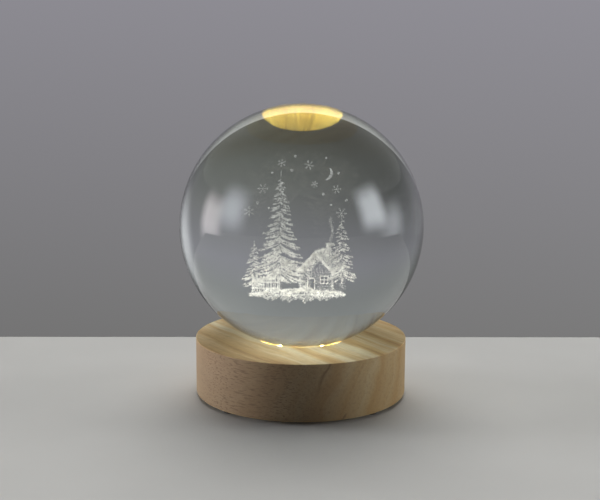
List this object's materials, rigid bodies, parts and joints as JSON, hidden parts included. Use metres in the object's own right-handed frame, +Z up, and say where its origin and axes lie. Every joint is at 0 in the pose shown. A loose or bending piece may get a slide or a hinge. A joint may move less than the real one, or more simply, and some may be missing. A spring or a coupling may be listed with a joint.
{
  "type": "crystal ball lamp",
  "caption": "Solid glass ball on a turned wooden base whose LEDs light it from below, with a rear power socket and push button.",
  "frame": {"origin": "on the surface that the lamp stands on, under the middle of the ball", "axes": "+Z up, -Y towards the plain side that the picture shows, +Y towards the socket and the button at the back"},
  "size_m": [0.08, 0.08, 0.0964],
  "materials": {
    "glass": "polished",
    "wood": "sanded",
    "board_white": "satin",
    "board_green": "satin",
    "led": "gloss",
    "resistor": "matt",
    "steel": "satin",
    "black_plastic": "satin",
    "white_plastic": "satin",
    "cover": "matt",
    "rubber": "matt",
    "wire_red": "satin",
    "wire_black": "satin"
  },
  "bodies": {
    "base": {"wood_base": "wood", "led_board": "board_white", "led_1": "led", "led_2": "led", "led_3": "led", "led_4": "led", "led_5": "led", "led_6": "led", "resistor_1": "resistor", "resistor_2": "resistor", "resistor_3": "resistor", "led_board_screw_1": "steel", "led_board_screw_2": "steel", "led_board_screw_3": "steel", "rear_board": "board_green", "usb_socket_shell": "steel", "usb_socket_tongue": "black_plastic", "switch_body": "black_plastic", "switch_spring": "steel", "wire_positive": "wire_red", "wire_negative": "wire_black", "bottom_cover": "cover", "cover_screw_1": "steel", "cover_screw_2": "steel", "cover_screw_3": "steel", "rubber_foot_1": "rubber", "rubber_foot_2": "rubber", "rubber_foot_3": "rubber", "rubber_foot_4": "rubber"},
    "ball": {"crystal_ball": "glass"},
    "button": {"power_button": "black_plastic", "switch_plunger": "white_plastic"}
  },
  "joints": [
    {"name": "ball_lift", "type": "slide", "parent": "base", "child": "ball", "axis": [0, 0, 1], "range_m": [0, 0.06]},
    {"name": "button_press", "type": "slide", "parent": "base", "child": "button", "axis": [0, -1, 0], "range_m": [0, 0.0012], "stiffness_N_per_m": 1200, "springref_m": -0.001, "deforming": ["switch_spring"]}
  ]
}
